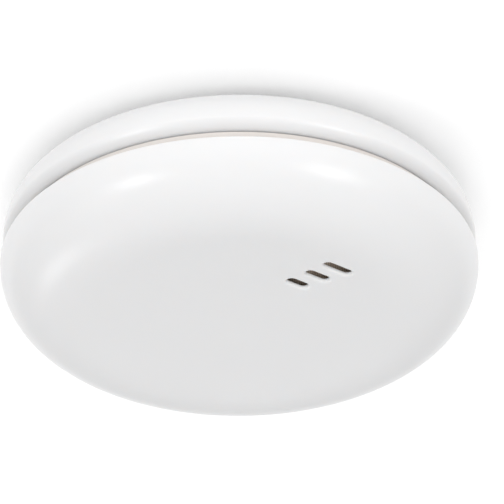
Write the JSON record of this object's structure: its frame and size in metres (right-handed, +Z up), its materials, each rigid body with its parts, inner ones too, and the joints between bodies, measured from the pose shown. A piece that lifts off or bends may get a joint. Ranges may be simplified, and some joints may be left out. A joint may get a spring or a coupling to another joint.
{
  "type": "heat detector",
  "caption": "Round white ceiling heat detector: domed press-to-test cover, open air groove, upper ring and a bayonet mounting plate.",
  "frame": {"origin": "centre of the mounting plate's flat ceiling face", "axes": "+Z up, out of the ceiling face into the ceiling; the detector hangs towards -Z; +X along the line of the two screw slots"},
  "size_m": [0.106, 0.106, 0.0314],
  "materials": {
    "plate_plastic": "fine satin moulding",
    "housing_plastic": "glossy white",
    "cover_plastic": "glossy white",
    "cage_plastic": "satin white in shade",
    "battery_sleeve": "plain shrink sleeve",
    "contact_nickel": "nickel plated",
    "mesh_steel": "blackened etched sheet",
    "board_laminate": "green solder mask",
    "module_laminate": "blue solder mask",
    "chip_epoxy": "moulded black epoxy",
    "can_metal": "tinned sheet",
    "inductor_ferrite": "sintered ferrite",
    "capacitor_sleeve": "sleeved can",
    "resistor_ceramic": "glazed film",
    "antenna_wire": "tinned wire",
    "bead_glass": "dipped bead",
    "lead_wire": "tinned wire",
    "led_resin": "moulded resin",
    "guide_clear": "clear moulding",
    "switch_plastic": "moulded",
    "plunger_plastic": "moulded",
    "tamper_plastic": "moulded",
    "spring_steel": "drawn wire",
    "horn_plastic": "moulded",
    "disc_brass": "rolled sheet",
    "disc_ceramic": "silvered ceramic",
    "screen_cloth": "woven dust cloth",
    "screw_steel": "zinc plated"
  },
  "bodies": {
    "plate": {"mounting_plate": "plate_plastic"},
    "head": {"back_housing": "housing_plastic", "battery": "battery_sleeve", "battery_contact_plus": "contact_nickel", "battery_contact_minus": "contact_nickel", "vent_cage": "cage_plastic", "insect_mesh": "mesh_steel", "circuit_board": "board_laminate", "main_chip": "chip_epoxy", "sounder_driver_chip": "chip_epoxy", "crystal": "can_metal", "boost_inductor": "inductor_ferrite", "capacitors": "capacitor_sleeve", "chip_resistors": "resistor_ceramic", "radio_module": "module_laminate", "radio_shield": "can_metal", "antenna": "antenna_wire", "thermistor_beads": "bead_glass", "thermistor_leads": "lead_wire", "status_led": "led_resin", "light_guide": "guide_clear", "test_switch_body": "switch_plastic", "tamper_switch_body": "switch_plastic", "tamper_spring": "spring_steel", "sounder_horn": "horn_plastic", "piezo_disc": "disc_brass", "piezo_ceramic": "disc_ceramic", "sounder_pins": "contact_nickel", "sounder_screen": "screen_cloth", "housing_screws": "screw_steel", "cover_springs": "spring_steel"},
    "cover": {"front_cover": "cover_plastic"},
    "test_plunger": {"test_switch_plunger": "plunger_plastic"},
    "tamper_pin": {"tamper_plunger": "tamper_plastic"}
  },
  "joints": [
    {"name": "head_twist", "type": "hinge", "parent": "plate", "child": "head", "pos_m": [0, 0, 0], "axis": [0, 0, -1], "range_deg": [0, 25]},
    {"name": "test_press", "type": "slide", "parent": "head", "child": "cover", "axis": [0, 0, 1], "range_m": [0, 0.0006], "stiffness_N_per_m": 1000, "springref_m": -0.002, "deforming": ["cover_springs"]},
    {"name": "test_switch_press", "type": "slide", "parent": "head", "child": "test_plunger", "axis": [0, 0, 1], "range_m": [0, 0.0006]},
    {"name": "tamper_press", "type": "slide", "parent": "head", "child": "tamper_pin", "axis": [0, 0, -1], "range_m": [0, 0.0005], "stiffness_N_per_m": 300, "springref_m": -0.001, "deforming": ["tamper_spring"]}
  ],
  "couplings": [
    {"joint": "test_switch_press", "follows": "test_press", "ratio": 1}
  ]
}
